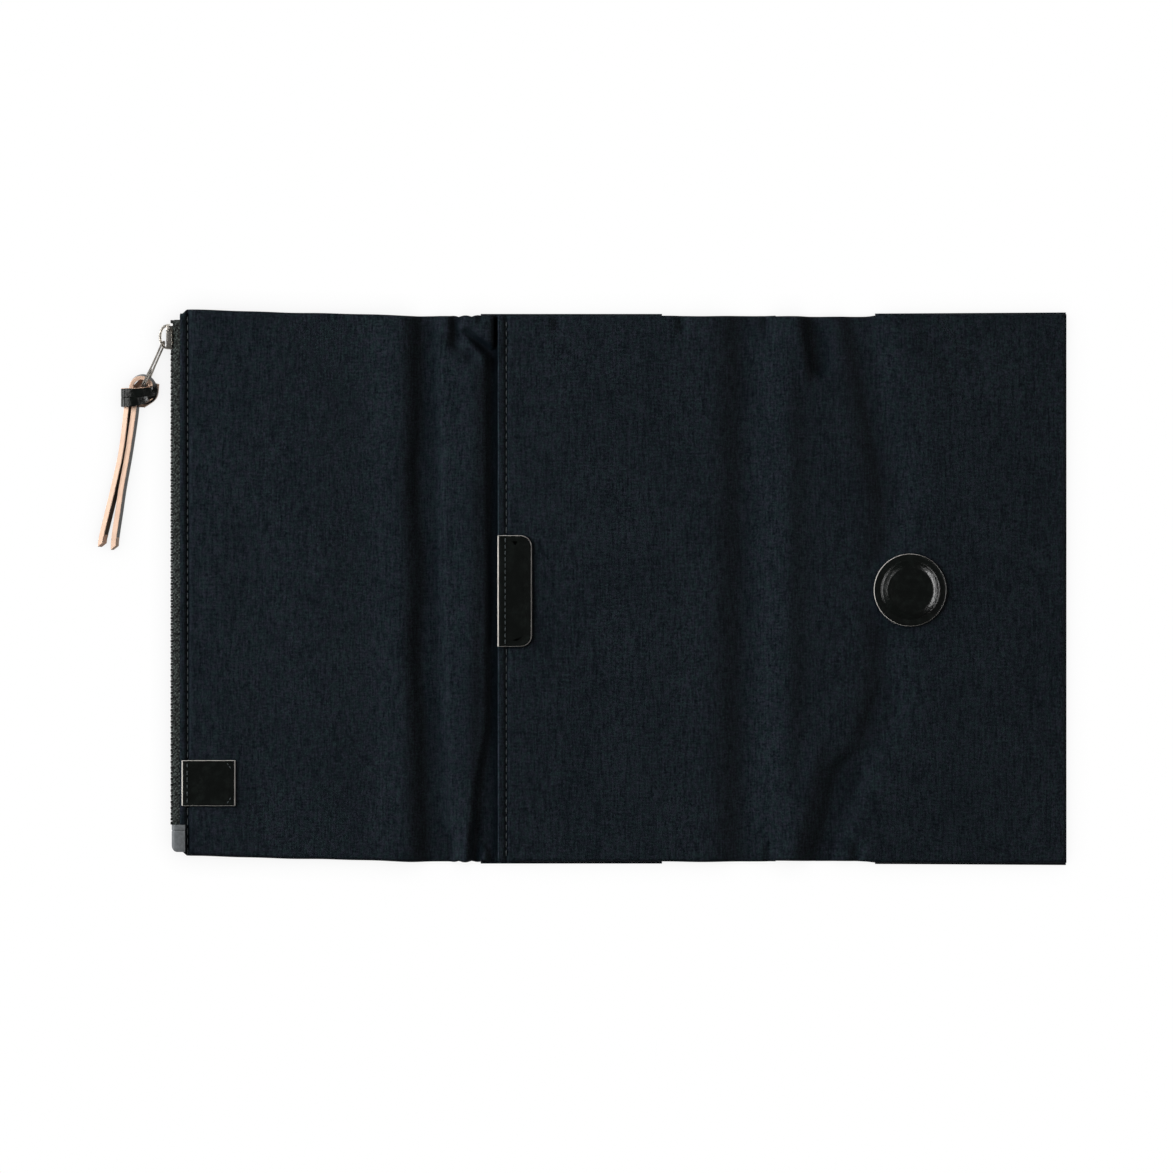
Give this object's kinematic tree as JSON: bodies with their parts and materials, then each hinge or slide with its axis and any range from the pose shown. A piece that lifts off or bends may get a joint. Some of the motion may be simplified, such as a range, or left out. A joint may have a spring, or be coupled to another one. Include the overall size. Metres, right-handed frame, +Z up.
{
  "type": "fabric notebook wrap cover with zip pouch",
  "caption": "Fabric wrap cover for a slim notebook, laid open outer side up: padded covers, soft spine, slip pocket, magnetic button and a zip pouch that folds over as the flap.",
  "frame": {"origin": "the middle of the back cover, on the underside of its inner sleeve, which lies on the table", "axes": "+X along the open cover from the back cover to the front cover, +Y along the spine towards the zip's closed end, +Z up out of the outer side"},
  "size_m": [0.3855, 0.222, 0.0079],
  "materials": {
    "navy_cloth": "tightly woven navy nylon with a faint thread texture",
    "black_lining": "thin plain-woven lining",
    "grey_board": "stiffener board, hidden in the covers",
    "foam": "soft padding, hidden",
    "black_leather": "smooth glazed black leather with light raw edges",
    "natural_leather": "natural flesh side, black grain side",
    "plated_steel": "plated magnet and washer",
    "nickel": "polished warm nickel",
    "dark_teeth": "black oxidised zip teeth",
    "black_tape": "woven zip tape",
    "grey_tab": "coated grey end tab"
  },
  "bodies": {
    "back_cover": {"back_sleeve": "navy_cloth", "back_lining": "black_lining", "back_board": "grey_board", "back_shell": "navy_cloth", "slip_pocket": "navy_cloth", "pocket_hem": "navy_cloth", "pocket_tab": "black_leather"},
    "spine": {"spine_lining": "black_lining", "spine_padding": "foam", "spine_outer": "navy_cloth"},
    "front_cover": {"front_sleeve": "navy_cloth", "front_lining": "black_lining", "front_board": "grey_board", "front_padding": "foam", "front_outer": "navy_cloth", "button_cover": "black_leather", "button_magnet": "plated_steel", "button_washer": "plated_steel"},
    "gusset": {"gusset_lining": "black_lining", "gusset_padding": "foam", "gusset_outer": "navy_cloth"},
    "flap": {"flap_inner_panel": "navy_cloth", "flap_outer_panel": "navy_cloth", "pouch_lining_back": "black_lining", "pouch_lining_front": "black_lining", "pouch_seam": "black_lining", "flap_magnet": "plated_steel", "flap_magnet_cover": "black_leather", "square_label": "black_leather", "zip_tape_front": "black_tape", "zip_tape_back": "black_tape", "zip_teeth_front": "dark_teeth", "zip_teeth_back": "dark_teeth", "zip_top_stops": "dark_teeth", "zip_bottom_stop": "dark_teeth", "zip_end_tab": "grey_tab"},
    "slider": {"slider_body": "nickel", "slider_bridge": "nickel"},
    "pull": {"pull_wire": "nickel"},
    "lace": {"pull_strap": "natural_leather"}
  },
  "joints": [
    {"name": "gusset_fold", "type": "hinge", "parent": "back_cover", "child": "gusset", "pos_m": [-0.0545, 0, -0.0003], "axis": [0, -1, 0], "range_deg": [0, 90]},
    {"name": "flap_fold", "type": "hinge", "parent": "gusset", "child": "flap", "pos_m": [-0.0802, 0, -0.0003], "axis": [0, -1, 0], "range_deg": [0, 90]},
    {"name": "spine_fold", "type": "hinge", "parent": "back_cover", "child": "spine", "pos_m": [0.0545, 0, -0.0003], "axis": [0, 1, 0], "range_deg": [0, 90]},
    {"name": "cover_fold", "type": "hinge", "parent": "spine", "child": "front_cover", "pos_m": [0.0729, 0, -0.0003], "axis": [0, 1, 0], "range_deg": [0, 90]},
    {"name": "zip_slide", "type": "slide", "parent": "flap", "child": "slider", "axis": [0, -1, 0], "range_m": [0, 0.188], "deforming": ["zip_teeth_front", "zip_teeth_back"]},
    {"name": "pull_swing", "type": "hinge", "parent": "slider", "child": "pull", "pos_m": [-0.1803, 0.09855, 0.0041], "axis": [0, 0, 1], "range_deg": [-131, 5]},
    {"name": "lace_swing", "type": "hinge", "parent": "pull", "child": "lace", "pos_m": [-0.18843, 0.08028, 0.0041], "axis": [0, 0, 1], "range_deg": [-40, 8]}
  ]
}
